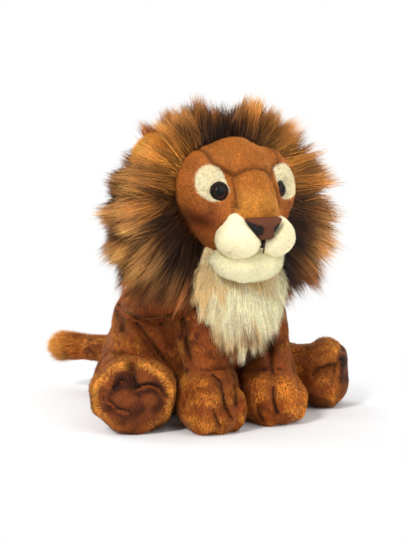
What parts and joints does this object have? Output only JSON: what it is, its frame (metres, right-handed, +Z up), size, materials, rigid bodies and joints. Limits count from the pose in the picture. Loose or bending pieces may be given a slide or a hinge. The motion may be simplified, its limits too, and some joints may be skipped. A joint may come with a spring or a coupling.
{
  "type": "plush lion",
  "caption": "Seated plush lion with a shaggy mane, cream muzzle and beard, upright front legs, splayed hind feet and a tufted tail.",
  "frame": {"origin": "centre of the flat patch under the seat, on the floor", "axes": "+Z up, -Y towards the way that the lion faces, +X towards the lion's left"},
  "size_m": [0.2919, 0.3143, 0.2988],
  "materials": {
    "rust_plush": "short plush pile, rust brown",
    "golden_plush": "short plush pile, golden brown",
    "cream_plush": "short plush pile, cream",
    "mane_pile": "long shaggy pile, dark brown with copper tips",
    "beard_pile": "long shaggy pile, cream",
    "nose_flock": "flocked, dark brown",
    "sole_plush": "short plush pile, dark brown",
    "wadding": "loose white fibre",
    "pellet_cloth": "woven inner cloth",
    "eye_plastic": "gloss, near black",
    "washer_plastic": "moulded, white"
  },
  "bodies": {
    "torso": {"torso_cover": "rust_plush", "torso_stuffing": "wadding", "seat_pellet_bag": "pellet_cloth"},
    "neck": {"neck_stuffing": "wadding"},
    "head": {"head_cover": "rust_plush", "head_stuffing": "wadding", "forehead_panel": "golden_plush", "left_eye": "eye_plastic", "right_eye": "eye_plastic", "left_eye_washer": "washer_plastic", "right_eye_washer": "washer_plastic", "left_eye_patch": "cream_plush", "right_eye_patch": "cream_plush", "nose": "nose_flock", "left_muzzle_pad": "cream_plush", "right_muzzle_pad": "cream_plush", "chin_pad": "cream_plush", "left_ear": "golden_plush", "right_ear": "golden_plush", "mane_ruff": "mane_pile", "beard_bib": "beard_pile"},
    "left_front_leg": {"left_front_leg_cover": "rust_plush", "left_front_leg_stuffing": "wadding"},
    "right_front_leg": {"right_front_leg_cover": "rust_plush", "right_front_leg_stuffing": "wadding"},
    "left_hind_leg": {"left_hind_leg_cover": "rust_plush", "left_hind_leg_stuffing": "wadding", "left_sole_pad": "sole_plush"},
    "right_hind_leg": {"right_hind_leg_cover": "rust_plush", "right_hind_leg_stuffing": "wadding", "right_sole_pad": "sole_plush"},
    "tail": {"tail_cover": "rust_plush", "tail_stuffing": "wadding", "tail_tuft": "golden_plush"}
  },
  "joints": [
    {"name": "neck_turn", "type": "hinge", "parent": "torso", "child": "neck", "pos_m": [0, -0.045, 0.166], "axis": [0, 0, 1], "range_deg": [-25, 25], "deforming": ["beard_bib"]},
    {"name": "head_nod", "type": "hinge", "parent": "neck", "child": "head", "pos_m": [0, -0.045, 0.166], "axis": [1, 0, 0], "range_deg": [-8, 10], "deforming": ["beard_bib"]},
    {"name": "left_shoulder_swing", "type": "hinge", "parent": "torso", "child": "left_front_leg", "pos_m": [0.038, -0.072, 0.095], "axis": [-1, 0, 0], "range_deg": [0, 45], "deforming": ["beard_bib"]},
    {"name": "right_shoulder_swing", "type": "hinge", "parent": "torso", "child": "right_front_leg", "pos_m": [-0.038, -0.072, 0.095], "axis": [-1, 0, 0], "range_deg": [0, 45], "deforming": ["beard_bib"]},
    {"name": "left_hip_splay", "type": "hinge", "parent": "torso", "child": "left_hind_leg", "pos_m": [0.06, -0.005, 0.0355], "axis": [0, 0, 1], "range_deg": [-10, 10]},
    {"name": "right_hip_splay", "type": "hinge", "parent": "torso", "child": "right_hind_leg", "pos_m": [-0.06, -0.005, 0.0355], "axis": [0, 0, -1], "range_deg": [0, 20]},
    {"name": "tail_swing", "type": "hinge", "parent": "torso", "child": "tail", "pos_m": [0, 0.066, 0.047], "axis": [0, 0, 1], "range_deg": [-35, 12]}
  ]
}
